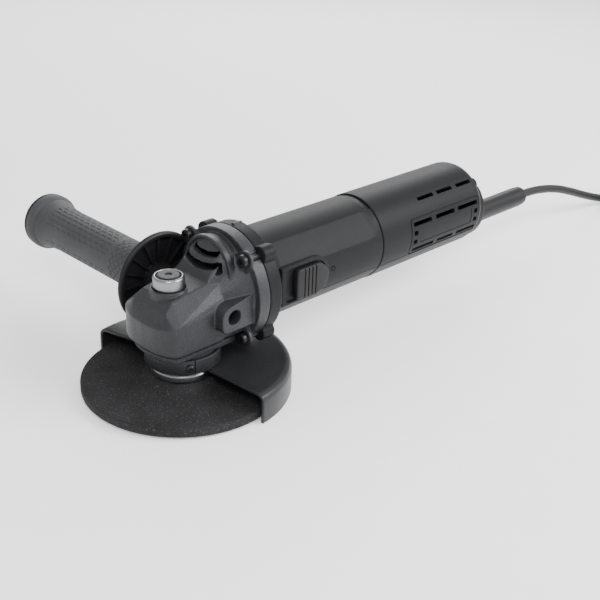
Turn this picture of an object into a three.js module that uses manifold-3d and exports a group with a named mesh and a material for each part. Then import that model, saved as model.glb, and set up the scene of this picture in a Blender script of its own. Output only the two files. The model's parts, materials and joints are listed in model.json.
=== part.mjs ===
// A small angle grinder with a guard, a side handle, a grinding wheel and its supply cord.
//
// Millimetres, +Z up. The spindle turns about Z through the origin, and the origin is the centre
// of the spindle's free end face. The motor axis runs along X at AXIS_Z, with +X towards the nose
// of the gear head. +Y is the tool's left: the slide switch and the empty handle socket are there,
// and the side handle is on -Y. The wheel guard stands on the floor at FLOOR_Z.

import * as THREE from 'three';
import Module from 'manifold-3d';
import { ConvexGeometry } from 'three/addons/geometries/ConvexGeometry.js';
import { mergeVertices } from 'three/addons/utils/BufferGeometryUtils.js';

const wasm = await Module();
wasm.setup();

// ---------------------------------------------------------------- driving dimensions

const GAP = 0.3; // clearance between neighbouring pieces
const FLOOR_Z = -2.5;
const AXIS_Z = 56.2; // height of the motor axis

const WHEEL = { r: 62.5, bore: 11.1, rimLow: -1.3, rimHigh: 4.7, hubLow: 2.5, hubHigh: 8.5 };
const THREAD_R = 7; // M14 spindle thread

const HEAD = { half: 24.5, bottom: 31.8, nose: 30 };
const LOCK = { x: 9.4, travel: 4.5, buttonR: 7.4, ringR: 9.5, top: 75.1 };
const SOCKET = { x: -14, z: 51, r: 4.7, face: 32, depth: 13.5 };
const FLANGE = { r: 37, front: -29.5, seam: -38, rear: -47.5, screw: 25.7, lugR: 5.6 };

const BARREL = { r: 29.6, bore: 27.2, rear: -148 };
const COVER = { r: 30, bore: 27.6, front: -148.3, rear: -262 };
const RELIEF = { z: 37.2, r: 7.9, collarR: 9.4, bore: 3.7, end: -354 };
const CAP = { r: 25.2, z: 51.5, rear: -268 }; // the boss around the cord entry

const CROWN_TEETH = 38;
const PINION_TEETH = 11;
const CROWN_R = 20; // pitch radius at the outer end of the teeth
const PINION_R = (CROWN_R * PINION_TEETH) / CROWN_TEETH;

const GUARD = { r: 67, sheet: 2, top: 16.4, from: 95, to: 283.8 };
const BAND = { inner: 21.7, outer: 23.5, low: 16.7, high: 26.1 };

const SWITCH = { front: -64, half: 10 };

const CORD_R = 3.4;
const COIL = { x: -525, y: 58.3, inner: 26.9, outer: 54.7, layers: 2 };
const PLUG = { x: -505, y: 115.3, z: FLOOR_Z + 7.1 };

// ---------------------------------------------------------------- finishes

const finish = (color, roughness, metalness = 0) =>
  new THREE.MeshStandardMaterial({ color, roughness, metalness });

const FINISH = {
  casting: finish(0x38393b, 0.5, 0.35),
  plastic: finish(0x35363a, 0.55),
  blackPlastic: finish(0x17181a, 0.5),
  rubber: finish(0x4a4b4e, 0.8),
  guard: finish(0x2b2c2e, 0.45, 0.4),
  abrasive: finish(0x1b1b1c, 0.95),
  steel: finish(0x9fa2a6, 0.3, 1),
  blackSteel: finish(0x202124, 0.35, 0.8),
  brass: finish(0xb58b45, 0.35, 1),
  copper: finish(0xb4623a, 0.4, 0.9),
  lamination: finish(0x6b6e72, 0.5, 0.8),
  carbon: finish(0x2a2a2b, 0.8),
  cord: finish(0x161617, 0.6),
};

// ---------------------------------------------------------------- solids

/** A closed three.js geometry as a Manifold solid with its faces outward. */
function solid(geometry) {
  const bare = geometry.clone();
  bare.deleteAttribute('normal');
  bare.deleteAttribute('uv');
  const merged = mergeVertices(bare, 1e-4);
  const at = merged.attributes.position;
  const corner = [0, 1, 2].map(() => new THREE.Vector3());
  const faces = [];
  let volume = 0;
  for (let i = 0; i < merged.index.count; i += 3) {
    const face = [0, 1, 2].map((k) => merged.index.getX(i + k));
    if (new Set(face).size < 3) continue;
    face.forEach((v, k) => corner[k].fromBufferAttribute(at, v));
    volume += corner[0].dot(corner[1].clone().cross(corner[2]));
    faces.push(face);
  }
  if (volume < 0) faces.forEach((face) => face.reverse());
  const mesh = new wasm.Mesh({
    numProp: 3,
    vertProperties: Float32Array.from(at.array),
    triVerts: Uint32Array.from(faces.flat()),
  });
  return new wasm.Manifold(mesh);
}

const union = (...bodies) => bodies.flat().reduce((sum, body) => sum.add(body));
const without = (body, ...cuts) => cuts.flat().reduce((rest, cut) => rest.subtract(cut), body);

/** Turns a geometry made about Z so that its Z runs along the named axis, then moves it. */
function aim(geometry, axis, at = [0, 0, 0]) {
  if (axis === 'x') geometry.rotateY(Math.PI / 2);
  if (axis === 'y') geometry.rotateX(-Math.PI / 2);
  return geometry.translate(...at);
}

/** A profile of [radius, place along the axis] turned about an axis through a point. */
function turned(profile, axis = 'z', at = [0, 0, 0], sides = 24) {
  const points = profile.map(([r, s]) => new THREE.Vector2(r, s));
  const lathe = new THREE.LatheGeometry(points, sides).rotateX(Math.PI / 2);
  return solid(aim(lathe, axis, at));
}

/** A closed ring profile: the first point is repeated at the end. */
const ring = (profile, ...rest) => turned([...profile, profile[0]], ...rest);

const rod = (r, from, to, axis, at, sides = 14) =>
  turned([[0, from], [r, from], [r, to], [0, to]], axis, at, sides);

const tube = (inner, outer, from, to, axis, at, sides = 24) =>
  ring([[inner, from], [outer, from], [outer, to], [inner, to]], axis, at, sides);

/** An upright prism of an outline of [x, y], or along X or Y of an outline across that axis. */
function prism(outline, from, to, axis = 'z') {
  const shape = new THREE.Shape(outline.map(([a, b]) => new THREE.Vector2(a, b)));
  const body = new THREE.ExtrudeGeometry(shape, { depth: to - from, bevelEnabled: false });
  body.translate(0, 0, from);
  // along X the outline is [y, z]; along Y it is [x, z]
  if (axis === 'x') body.applyMatrix4(new THREE.Matrix4().set(0, 0, 1, 0, 1, 0, 0, 0, 0, 1, 0, 0, 0, 0, 0, 1));
  if (axis === 'y') body.applyMatrix4(new THREE.Matrix4().set(1, 0, 0, 0, 0, 0, 1, 0, 0, 1, 0, 0, 0, 0, 0, 1));
  return solid(body);
}

function box(x0, x1, y0, y1, z0, z1) {
  const block = new THREE.BoxGeometry(x1 - x0, y1 - y0, z1 - z0);
  return solid(block.translate((x0 + x1) / 2, (y0 + y1) / 2, (z0 + z1) / 2));
}

/** The tightest convex solid around a list of [x, y, z]. */
const hull = (points) => solid(new ConvexGeometry(points.map((p) => new THREE.Vector3(...p))));

/** Points of a circle arc in degrees. */
function arc(cx, cy, r, from, to, steps) {
  return Array.from({ length: steps + 1 }, (_, i) => {
    const t = THREE.MathUtils.degToRad(from + ((to - from) * i) / steps);
    return [cx + r * Math.cos(t), cy + r * Math.sin(t)];
  });
}

/** The same solid made once for each angle about an axis, in degrees. */
const around = (angles, make) => angles.map((angle) => make(THREE.MathUtils.degToRad(angle)));
const evenly = (count, start = 0) => Array.from({ length: count }, (_, i) => start + (360 * i) / count);

/** A block from radius r0 to r1 at an angle about the motor axis. */
function spoke(angle, r0, r1, width, x0, x1) {
  const block = new THREE.BoxGeometry(x1 - x0, r1 - r0, width);
  block.translate((x0 + x1) / 2, (r0 + r1) / 2, 0);
  return solid(block.rotateX(angle).translate(0, 0, AXIS_Z));
}

const onMotorAxis = [0, 0, AXIS_Z];
const group = new THREE.Group();

/** Adds a solid to the grinder as a named mesh. */
function add(name, body, material) {
  const mesh = body.getMesh();
  const geometry = new THREE.BufferGeometry();
  geometry.setAttribute('position', new THREE.BufferAttribute(mesh.vertProperties, 3));
  geometry.setIndex(new THREE.BufferAttribute(mesh.triVerts, 1));
  const flat = geometry.toNonIndexed();
  flat.computeVertexNormals();
  const part = new THREE.Mesh(flat, material);
  part.name = name;
  group.add(part);
}

// ---------------------------------------------------------------- gear head

/** Half of the head's plan outline, from the nose to the rear, at a given inset. */
function headPlan(inset, rear) {
  const half = [[30, 6], [29.2, 12], [27.4, 17.5], [24.6, 21.4], [20.5, 23.8], [16, HEAD.half]];
  const side = half.map(([x, y]) => [x - inset, Math.max(y - inset, 0.5)]);
  const left = [...side, [rear, HEAD.half - inset]];
  return [...left, ...left.map(([x, y]) => [x, -y]).reverse()];
}

/** The arch of the exhaust hood, [y, z], for a half width. */
function arch(half, low) {
  const centre = 69.5;
  return [[half, low], ...arc(0, centre, half, 0, 180, 14), [-half, low]];
}

/** Round flange with a lug at each corner, [y, z]. */
function flangeSolid(from, to, lugFrom) {
  const disc = rod(FLANGE.r, from, to, 'x', onMotorAxis, 32);
  const lugs = screwPlaces().map(([y, z]) => {
    const cap = rod(FLANGE.lugR, lugFrom, to, 'x', [0, y, z], 10);
    const inner = [y * 0.8, AXIS_Z + (z - AXIS_Z) * 0.8];
    const side = FLANGE.lugR * 0.98;
    const web = [[-side, side], [side, -side]].flatMap(([dy, dz]) => {
      const s = Math.sign(y * (z - AXIS_Z));
      const [ay, az] = [dy * 0.707, dz * 0.707 * s];
      return [lugFrom, to].flatMap((x) => [
        [x, y + ay, z + az],
        [x, inner[0] + ay, inner[1] + az],
      ]);
    });
    return union(cap, hull(web));
  });
  return union(disc, lugs);
}

function screwPlaces() {
  const s = FLANGE.screw;
  return [[s, AXIS_Z + s], [-s, AXIS_Z + s], [s, AXIS_Z - s], [-s, AXIS_Z - s]];
}

/** The faceted shell of the head: upright wall, chamfers, side facets and sloping top. */
function headShell() {
  const ridge = (x) => (x > 20 ? 50 + (30 - x) * 0.38 : 53.8 + (20 - x) * 0.02);
  const wallLow = headPlan(0, -26).map(([x, y]) => [x, y, 34]);
  const lip = headPlan(1.6, -26).map(([x, y]) => [x, y, HEAD.bottom]);
  const wallHigh = headPlan(0, -26).map(([x, y]) => [x, y, ridge(x)]);
  const upper = [-1, 1].flatMap((s) => [
    [24, s * 15, 59.2],
    [-26, s * 21.5, 63.2],
    [18, s * 13.5, 64.4],
    [-26, s * 15.5, 72.7],
  ]);
  return hull([...lip, ...wallLow, ...wallHigh, ...upper]);
}

/** The neck between the head and the round flange, cut level with the head's underside. */
function headNeck() {
  const front = [-1, 1].flatMap((s) => [
    [-13, s * 24.2, 34],
    [-13, s * 24.2, 54.2],
    [-13, s * 21, 62.4],
    [-13, s * 15, 69.6],
  ]);
  const rear = arc(0, AXIS_Z, 33, 0, 360, 28).slice(0, -1).map(([y, z]) => [-30, y, z]);
  return hull([...front, ...rear]).intersect(box(-31, 0, -40, 40, HEAD.bottom, 100));
}

/** The exhaust hood: an arched box, its slanting front and the bead around it. */
function hoodShell() {
  const body = prism(arch(20.6, 56), -34, -21, 'x');
  const crown = arch(19, 66).map(([y, z]) => [-21.2, y, z]);
  const foot = [-1, 1].flatMap((s) => [[-7, s * 15, 68.6], [-7, s * 15, 60]]);
  const rim = prism([...arch(21.6, 58), ...arch(19.4, 58).reverse()], -23.6, -19.6, 'x');
  return union(body, hull([...crown, ...foot]), rim);
}

/** The air way from the fan through the hood, and its two curved mouths. */
function airWay() {
  const side = [[-40, 72.6], [-12.8, 72.6], [-25, 87.2], [-40, 87.2]];
  const duct = prism(side, -17.2, 17.2, 'y').intersect(prism(arch(17.4, 60), -41, -5, 'x'));
  const mouth = (z, half, high) => {
    const low = Array.from({ length: 5 }, (_, i) => (i / 2 - 1) * half).map((y) => [y, z + y * y * 0.012]);
    return prism([...low, ...low.map(([y, h]) => [y, h + high]).reverse()], -26, -4, 'x');
  };
  return union(duct, mouth(73.4, 14, 3.6), mouth(80, 11, 3));
}

/** The space for the gears, with the boss for the top bush left standing. */
function gearSpace() {
  const chamber = turned([[0, 30], [21.5, 30], [21.5, 53.5], [12, 58.2], [0, 58.2]], 'z', [0, 0, 0], 24);
  const boss = rod(6.9, 54, 60, 'z', [0, 0, 0], 16);
  const bush = rod(5.7, 50, 62.6, 'z', [0, 0, 0], 16);
  const pinion = rod(9, -28, -8, 'x', onMotorAxis, 16);
  const bearing = rod(13.3, -41, -27.7, 'x', onMotorAxis, 20);
  return [without(chamber, boss), bush, pinion, bearing];
}

function socketBoss(side) {
  const outline = [[-5, 44.5], [-5, 54.5], [-7.5, 57.6], [-30, 62.5], [-30, 42], [-7, 42]];
  const [y0, y1] = side > 0 ? [15, SOCKET.face] : [-SOCKET.face, -15];
  return prism(outline, y0, y1, 'y');
}

function socketHole(side) {
  const inner = SOCKET.face - SOCKET.depth;
  const [y0, y1] = side > 0 ? [inner, SOCKET.face + 1] : [-SOCKET.face - 1, -inner];
  return rod(SOCKET.r, y0, y1, 'y', [SOCKET.x, 0, SOCKET.z], 14);
}

const coverScrewPlaces = [[17.7, 17.7], [17.7, -17.7], [-17.7, 17.7], [-17.7, -17.7]];

function gearHousing() {
  const shape = union(
    headShell(),
    headNeck(),
    hoodShell(),
    flangeSolid(FLANGE.seam, FLANGE.front, -27.3),
    socketBoss(1),
    socketBoss(-1),
    rod(11.6, 58, 67.6, 'z', [LOCK.x, 0, 0], 16),
  );
  const screws = screwPlaces().flatMap(([y, z]) => [
    rod(2.2, -40, -20, 'x', [0, y, z], 8),
    rod(4.5, -27.3, -12, 'x', [0, y, z], 10),
  ]);
  const coverScrews = coverScrewPlaces.map(([x, y]) => rod(2.2, 30, 44, 'z', [x, y, 0], 8));
  const lock = [
    rod(2.5, 55, 66, 'z', [LOCK.x, 0, 0], 10),
    rod(7.7, 62.8, 80, 'z', [LOCK.x, 0, 0], 16),
    rod(9.8, 65.2, 80, 'z', [LOCK.x, 0, 0], 20),
  ];
  return without(shape, gearSpace(), airWay(), socketHole(1), socketHole(-1), screws, coverScrews, lock);
}

/** The plate that closes the gear head, with the neck that the guard clamps to. */
function bearingCover() {
  const plan = headPlan(3, -26);
  const shape = union(prism(plan, 27.6, HEAD.bottom - GAP), rod(21.3, 17.1, 28, 'z', [0, 0, 0], 24));
  const holes = coverScrewPlaces.flatMap(([x, y]) => [
    rod(2.2, 20, 33, 'z', [x, y, 0], 8),
    rod(3.3, 27, 29.7, 'z', [x, y, 0], 10),
  ]);
  const seat = turned([[0, 16], [10, 16], [10, 20.8], [16, 20.8], [16, 33], [0, 33]], 'z', [0, 0, 0], 20);
  return without(shape, holes, seat);
}

/** A pan-head screw along Z or X with a six-sided drive; it points towards +axis. */
function screw(shankR, shankTo, headR, headFrom, seat, axis, at) {
  const step = Math.sign(shankTo - seat);
  const profile = [
    [0, headFrom],
    [headR * 0.8, headFrom],
    [headR, headFrom + step * 0.8],
    [headR, seat],
    [shankR, seat],
    [shankR, shankTo],
    [0, shankTo],
  ];
  const drive = [Math.min(headFrom - step, headFrom + step * 1.2), Math.max(headFrom - step, headFrom + step * 1.2)];
  return without(turned(profile, axis, at, 10), rod(headR * 0.45, ...drive, axis, at, 6));
}

// ---------------------------------------------------------------- spindle lock

function lockPieces() {
  const at = [LOCK.x, 0, 0];
  const button = [[0, 69.5], [7.4, 69.5], [7.4, 74.3], [6.6, LOCK.top], [2.2, LOCK.top], [1.6, 74.5], [0, 74.5]];
  add('lock_button', turned(button, 'z', at, 16), FINISH.blackPlastic);
  const ringProfile = [[7.7, 65.5], [LOCK.ringR, 65.5], [LOCK.ringR, 73.7], [8.6, 74.7], [7.7, 74.7]];
  add('lock_collar', ring(ringProfile, 'z', at, 20), FINISH.steel);
  const pin = [[0, 50.5], [1.6, 50.5], [2.2, 51.3], [2.2, 69.2], [0, 69.2]];
  add('lock_pin', turned(pin, 'z', at, 8), FINISH.steel);
  add('lock_spring', coilSpring(at, 4.2, 0.4, 63.4, 68.9, 3), FINISH.steel);
}

/** A helical wire as one closed solid. */
function coilSpring([x, y], r, wire, from, to, turns) {
  class Helix extends THREE.Curve {
    getPoint(t) {
      const angle = t * turns * 2 * Math.PI;
      const height = from + wire + (to - from - 2 * wire) * t;
      return new THREE.Vector3(x + r * Math.cos(angle), y + r * Math.sin(angle), height);
    }
  }
  return sweep(new Helix(), wire, turns * 10, 5);
}

/** A round bar of one radius along a curve. */
function sweep(curve, r, steps, sides = 8) {
  const outline = new THREE.Shape(arc(0, 0, r, 0, 360, sides).slice(0, -1).map((p) => new THREE.Vector2(...p)));
  return solid(new THREE.ExtrudeGeometry(outline, { steps, extrudePath: curve, bevelEnabled: false }));
}

// ---------------------------------------------------------------- spindle and wheel

function spindle() {
  const profile = [
    [0, 0], [6, 0], [THREAD_R, 1], [THREAD_R, 16.4], [9, 16.4], [9, 20.4], [6, 20.4], [6, 31.4],
    [7.5, 31.4], [7.5, 37.7], [5.5, 37.7], [5.5, 49.6], [4, 49.6], [4, 61], [3.4, 61.6], [0, 61.6],
  ];
  return turned(profile, 'z', [0, 0, 0], 16);
}

/** One straight bevel tooth about Z with its cone's tip at the height of the motor axis. */
function crownTooth(angle) {
  const ends = [[20.5, 1], [13.4, 13.4 / 20.5]];
  const slope = PINION_R / CROWN_R;
  const points = ends.flatMap(([r, scale]) => {
    const pitch = AXIS_Z - r * slope;
    return [[pitch - 1.5 * scale, 0.72 * scale], [pitch + 0.9 * scale, 0.32 * scale]].flatMap(([z, half]) => [
      [r * Math.cos(angle) - half * Math.sin(angle), r * Math.sin(angle) + half * Math.cos(angle), z],
      [r * Math.cos(angle) + half * Math.sin(angle), r * Math.sin(angle) - half * Math.cos(angle), z],
    ]);
  });
  return hull(points);
}

function crownGear() {
  const body = [
    [5.8, 38], [10.5, 38], [18, 42], [20.6, 44.6], [20.6, 49.1], [13.2, 51.5], [12.9, 48.4], [5.8, 48.4],
  ];
  const teeth = around(evenly(CROWN_TEETH, 180 / CROWN_TEETH), crownTooth);
  const holes = around(evenly(8), (t) =>
    rod(2.7, 36, 50, 'z', [LOCK.x * Math.cos(t), LOCK.x * Math.sin(t), 0], 8));
  return without(union(ring(body, 'z', [0, 0, 0], 24), teeth), holes);
}

function bearing(bore, outer, from, to, axis, at) {
  const groove = [bore + (outer - bore) * 0.3, bore + (outer - bore) * 0.7];
  const profile = [
    [bore, from], [groove[0], from], [groove[0], from + 0.8], [groove[1], from + 0.8], [groove[1], from],
    [outer, from], [outer, to], [groove[1], to], [groove[1], to - 0.8], [groove[0], to - 0.8], [groove[0], to],
    [bore, to],
  ];
  return ring(profile, axis, at, 16);
}

function wheelPieces() {
  const inner = [
    [7.3, 6], [10.8, 6], [10.8, 8.8], [19.2, 8.8], [20, 9.6], [20, 13.2], [17.6, 16.1], [7.3, 16.1],
  ];
  add('inner_flange', ring(inner, 'z', [0, 0, 0], 24), FINISH.steel);
  const w = WHEEL;
  const wheel = [
    [w.bore, w.hubLow], [21, w.hubLow], [27, w.rimLow], [w.r, w.rimLow], [w.r, w.rimHigh],
    [25.6, w.rimHigh], [19.6, w.hubHigh], [w.bore, w.hubHigh],
  ];
  add('grinding_wheel', ring(wheel, 'z', [0, 0, 0], 40), FINISH.abrasive);
  const nut = [[7.3, 0.2], [18.2, 0.2], [19, 0.9], [19, 2.2], [10.8, 2.2], [10.8, 5.6], [7.3, 5.6]];
  const pins = around([45, 135, 225, 315], (t) =>
    rod(2.4, -1, 1.5, 'z', [14.8 * Math.cos(t), 14.8 * Math.sin(t), 0], 8));
  add('clamp_nut', without(ring(nut, 'z', [0, 0, 0], 20), pins), FINISH.blackSteel);
}

// ---------------------------------------------------------------- guard

/** A wedge of space between two angles in degrees, tall enough for the guard. */
function wedge(from, to, r, z0, z1) {
  return prism([[0, 0], ...arc(0, 0, r, from, to, 12)], z0, z1);
}

function guardPieces() {
  const { r, sheet, top } = GUARD;
  const profile = [
    [BAND.inner, top], [r - 4, top], [r - 1.4, top - 1.3], [r, top - 4], [r, FLOOR_Z], [r - sheet, FLOOR_Z],
    [r - sheet, top - 4.2], [r - sheet - 0.9, top - 5 + 2.6], [r - 4.4, top - sheet], [BAND.inner, top - sheet],
  ];
  const shell = ring(profile, 'z', [0, 0, 0], 40).intersect(wedge(GUARD.from, GUARD.to, 90, -10, 30));
  add('guard_shell', shell, FINISH.guard);
  const t = THREE.MathUtils.degToRad(62);
  const hole = new THREE.CylinderGeometry(1.8, 1.8, 8, 16).rotateZ(Math.PI / 2).translate(23, 0, 0);
  const band = without(
    tube(BAND.inner, BAND.outer, BAND.low, BAND.high, 'z', [0, 0, 0], 32),
    wedge(69, 70.5, 40, 10, 30),
    solid(hole.rotateZ(t).translate(0, 0, 21.4)),
  );
  add('guard_band', band, FINISH.guard);
  const clamp = [[0, 21.7], [1.5, 21.7], [1.5, 23.8], [2.4, 23.8], [2.4, 24.6], [1.8, 25.2], [0, 25.2]];
  const points = clamp.map(([a, b]) => new THREE.Vector2(a, b));
  const clampScrew = new THREE.LatheGeometry(points, 16).rotateZ(-Math.PI / 2).rotateZ(t);
  add('guard_clamp_screw', solid(clampScrew.translate(0, 0, 21.4)), FINISH.blackSteel);
}

// ---------------------------------------------------------------- side handle

function handlePieces() {
  const at = [SOCKET.x, 0, SOCKET.z];
  const face = -SOCKET.face - GAP;
  const core = [
    [4.5, face], [10.2, face], [10.8, -38.6], [27, -39.4], [29.5, -38.4], [31, -39.4], [31, -41.4], [28.5, -42.8],
    [17, -43.6], [11, -43.8], [11, -165.6], [18.6, -165.6], [19.4, -166.6], [19.4, -168.4], [17.5, -170],
    [0, -170.4], [0, -62], [4.5, -62],
  ];
  add('handle_core', ring(core, 'y', at, 24), FINISH.blackPlastic);
  const grip = [
    [11.3, -44.1], [16.4, -44.1], [16.9, -46], [15.6, -50], [15.1, -60], [15.1, -140], [15.8, -150], [17.8, -158],
    [19.6, -161.5], [19.6, -165.3], [11.3, -165.3],
  ];
  add('handle_grip', ring(grip, 'y', at, 20), FINISH.rubber);
  const stud = [[0, -19.4], [3.6, -19.4], [4.2, -20.2], [4.2, -61.4], [0, -61.4]];
  add('handle_stud', turned(stud, 'y', at, 10), FINISH.steel);
}

// ---------------------------------------------------------------- motor housing

/** An outline in x and z, round at the rear and square at the front, centred on the motor axis. */
function archOutline(centre, r, front) {
  return [[front, AXIS_Z - r], [front, AXIS_Z + r], ...arc(centre, AXIS_Z, r, 90, 270, 8)];
}

function motorHousing() {
  const skirt = [[26, FLANGE.rear], [32.5, FLANGE.rear], [BARREL.r, -54], [BARREL.r, BARREL.rear], [26, BARREL.rear]];
  const shape = union(
    flangeSolid(FLANGE.rear, FLANGE.seam - GAP, FLANGE.rear),
    ring(skirt, 'x', onMotorAxis, 32),
    prism(archOutline(-83, 13, -54), 22, 29.9, 'y'),
  );
  const bracket = union(
    tube(13.8, 16.6, -160.4, -137, 'x', onMotorAxis, 20),
    around([45, 135, 225, 315], (t) => spoke(t, 15.5, 28, 2.6, -147.7, -137)),
    [-17, 17].map((y) => rod(4, -147.7, -137, 'x', [0, y, AXIS_Z + 17], 10)),
  );
  const recess = prism(archOutline(-82, 11.2, -57.6), 28.6, 34, 'y');
  const slot = box(-86.5, -67.5, 20, 34, AXIS_Z - 2.3, AXIS_Z + 2.3);
  const bolts = screwPlaces().map(([y, z]) => rod(2.2, -46.6, -38, 'x', [0, y, z], 8));
  const brushes = box(-146, -137, -24, 24, AXIS_Z - 3.8, AXIS_Z + 3.8);
  const coverBolts = [-17, 17].map((y) => rod(2, -148, -139, 'x', [0, y, AXIS_Z + 17], 8));
  const shell = without(shape, rod(BARREL.bore, -149, -38, 'x', onMotorAxis, 32), recess, slot, bolts);
  return union(shell, without(bracket, brushes, coverBolts, rod(13.8, -161, -136, 'x', onMotorAxis, 20)));
}

// ---------------------------------------------------------------- motor

/** A sector of a ring about the motor axis. */
function sector(r0, r1, from, to, x0, x1) {
  const steps = Math.ceil((to - from) / 9);
  const outline = [...arc(0, AXIS_Z, r1, from, to, steps), ...arc(0, AXIS_Z, r0, to, from, steps)];
  return prism(outline, x0, x1, 'x');
}

function stator() {
  const poles = [40, 220].map((from) => sector(17.3, 23, from, from + 100, -122, -80));
  const core = union(tube(22.6, 26.6, -122, -80, 'x', onMotorAxis, 32), poles);
  return without(core, box(-123, -79, 24.6, 30, AXIS_Z - 4.4, AXIS_Z + 4.4));
}

/** A saddle-shaped winding around one pole. */
function fieldCoil(from) {
  const whole = sector(18.2, 22.3, from, from + 144, -129, -73);
  return without(whole, sector(16, 24, from + 18, from + 126, -122.6, -79.4));
}

const slots = evenly(12, 15);

function armatureCore() {
  const cuts = around(slots, (t) => spoke(t, 9, 18, 2.8, -123, -79));
  return without(tube(5.3, 16.5, -122, -80, 'x', onMotorAxis, 24), cuts);
}

function armatureWinding() {
  const front = ring([[5.6, -79.7], [15, -79.7], [15, -76], [12, -73], [5.6, -73]], 'x', onMotorAxis, 16);
  const rear = ring([[5.6, -131], [11.5, -131], [15, -127], [15, -122.3], [5.6, -122.3]], 'x', onMotorAxis, 16);
  return union(front, rear, around(slots, (t) => spoke(t, 9.4, 14.8, 2, -122.8, -79.2)));
}

function commutator() {
  const body = ring([[5.3, -147.6], [10.5, -147.6], [10.5, -134.6], [11.8, -134], [11.8, -132.4], [5.3, -132.4]],
    'x', onMotorAxis, 24);
  return without(body, around(evenly(16), (t) => spoke(t, 9.6, 13, 0.5, -149, -132)));
}

function armatureShaft() {
  const profile = [
    [0, -9.2], [2.2, -9.2], [2.2, -27.6], [5, -27.6], [5, -149], [4, -149], [4, -160.4], [0, -160.4],
  ];
  return turned(profile.reverse(), 'x', onMotorAxis, 14);
}

function fan() {
  const back = ring([[5.3, -58.6], [25, -58.6], [25, -57.2], [9.5, -56.4], [9.5, -44.4], [5.3, -44.4]],
    'x', onMotorAxis, 24);
  return union(back, around(evenly(14), (t) => spoke(t, 9, 24.6, 1.4, -57.6, -45)));
}

function pinion() {
  const body = ring([[2.5, -27.3], [5.2, -27.3], [5.2, -22.6], [6.8, -22.4], [6.8, -21], [4.5, -20.8],
    [3.3, -14.2], [2.5, -14.2]], 'x', onMotorAxis, 33);
  const teeth = around(evenly(PINION_TEETH, -90), (t) => {
    const points = [[20.5, 1], [14.2, 14.2 / 20.5]].flatMap(([x, scale]) =>
      [[PINION_R - 1.6, 0.72], [PINION_R + 0.9, 0.32]].flatMap(([r, half]) =>
        [-1, 1].map((s) => {
          const [radial, side] = [r * scale, s * half * scale];
          return [
            -x,
            radial * Math.cos(t) - side * Math.sin(t),
            AXIS_Z + radial * Math.sin(t) + side * Math.cos(t),
          ];
        })));
    return hull(points);
  });
  return union(body, teeth);
}

function motorPieces() {
  add('stator_core', stator(), FINISH.lamination);
  add('field_coil_upper', fieldCoil(18), FINISH.copper);
  add('field_coil_lower', fieldCoil(198), FINISH.copper);
  add('armature_shaft', armatureShaft(), FINISH.steel);
  add('armature_core', armatureCore(), FINISH.lamination);
  add('armature_winding', armatureWinding(), FINISH.copper);
  add('commutator', commutator(), FINISH.copper);
  add('cooling_fan', fan(), FINISH.blackPlastic);
  add('pinion_gear', pinion(), FINISH.steel);
  add('pinion_nut', tube(2.5, 3.1, -13.9, -10, 'x', onMotorAxis, 12), FINISH.steel);
  add('front_bearing', bearing(5.3, 13, -36.6, -28, 'x', onMotorAxis), FINISH.steel);
  add('rear_bearing', bearing(4.3, 11, -159, -152, 'x', onMotorAxis), FINISH.steel);
  add('rear_bearing_sleeve', tube(11.3, 13.5, -159.4, -151.6, 'x', onMotorAxis, 16), FINISH.rubber);
  add('air_baffle', tube(20.5, 26.9, -63.6, -61, 'x', onMotorAxis, 20), FINISH.blackPlastic);
  [-1, 1].forEach((side, i) => {
    const across = (a, b) => (side > 0 ? [a, b] : [-b, -a]);
    const [outer, inner] = [box(-145.6, -137.4, ...across(11.6, 24), AXIS_Z - 3.4, AXIS_Z + 3.4),
      box(-144.8, -138.2, ...across(10, 25), AXIS_Z - 2.6, AXIS_Z + 2.6)];
    add(`brush_holder_${i + 1}`, without(outer, inner), FINISH.brass);
    add(`carbon_brush_${i + 1}`, box(-144.5, -138.5, ...across(10.9, 21), AXIS_Z - 2.3, AXIS_Z + 2.3), FINISH.carbon);
  });
}

// ---------------------------------------------------------------- switch

function switchPieces() {
  const { front, half } = SWITCH;
  const [low, high] = [AXIS_Z - half, AXIS_Z + half];
  const nose = [[front - 2.5, low], [front, low + 2.5], [front, high - 2.5], [front - 2.5, high]];
  const pad = [...nose, ...arc(-82, AXIS_Z, half, 90, 270, 8)];
  const ribs = [0, 1, 2, 3].map((i) => box(-82 + i * 3.6, -80.8 + i * 3.6, 32.5, 34, low - 1, high + 1));
  const knob = without(prism(pad, 28.9, 33.4, 'y'), ribs);
  add('switch_knob', union(knob, box(-83.5, -74.5, 27, 29.4, AXIS_Z - 1.8, AXIS_Z + 1.8)), FINISH.blackPlastic);
  const link = union(
    box(-171.4, -73, 25.2, 26.7, AXIS_Z - 3.5, AXIS_Z + 3.5),
    box(-171.4, -166, 9, 26, AXIS_Z - 3.5, AXIS_Z + 3.5),
  );
  add('switch_link', link, FINISH.blackPlastic);
  const body = union(
    box(-202, -171.8, -10, 10, AXIS_Z - 11, AXIS_Z + 11),
    [-5, 5].flatMap((y) => [-6, 6].map((z) => box(-208, -201, y - 2.4, y + 2.4, AXIS_Z + z - 0.5, AXIS_Z + z + 0.5))),
  );
  add('switch_body', body, FINISH.blackPlastic);
}

// ---------------------------------------------------------------- rear cover and cord entry

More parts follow.
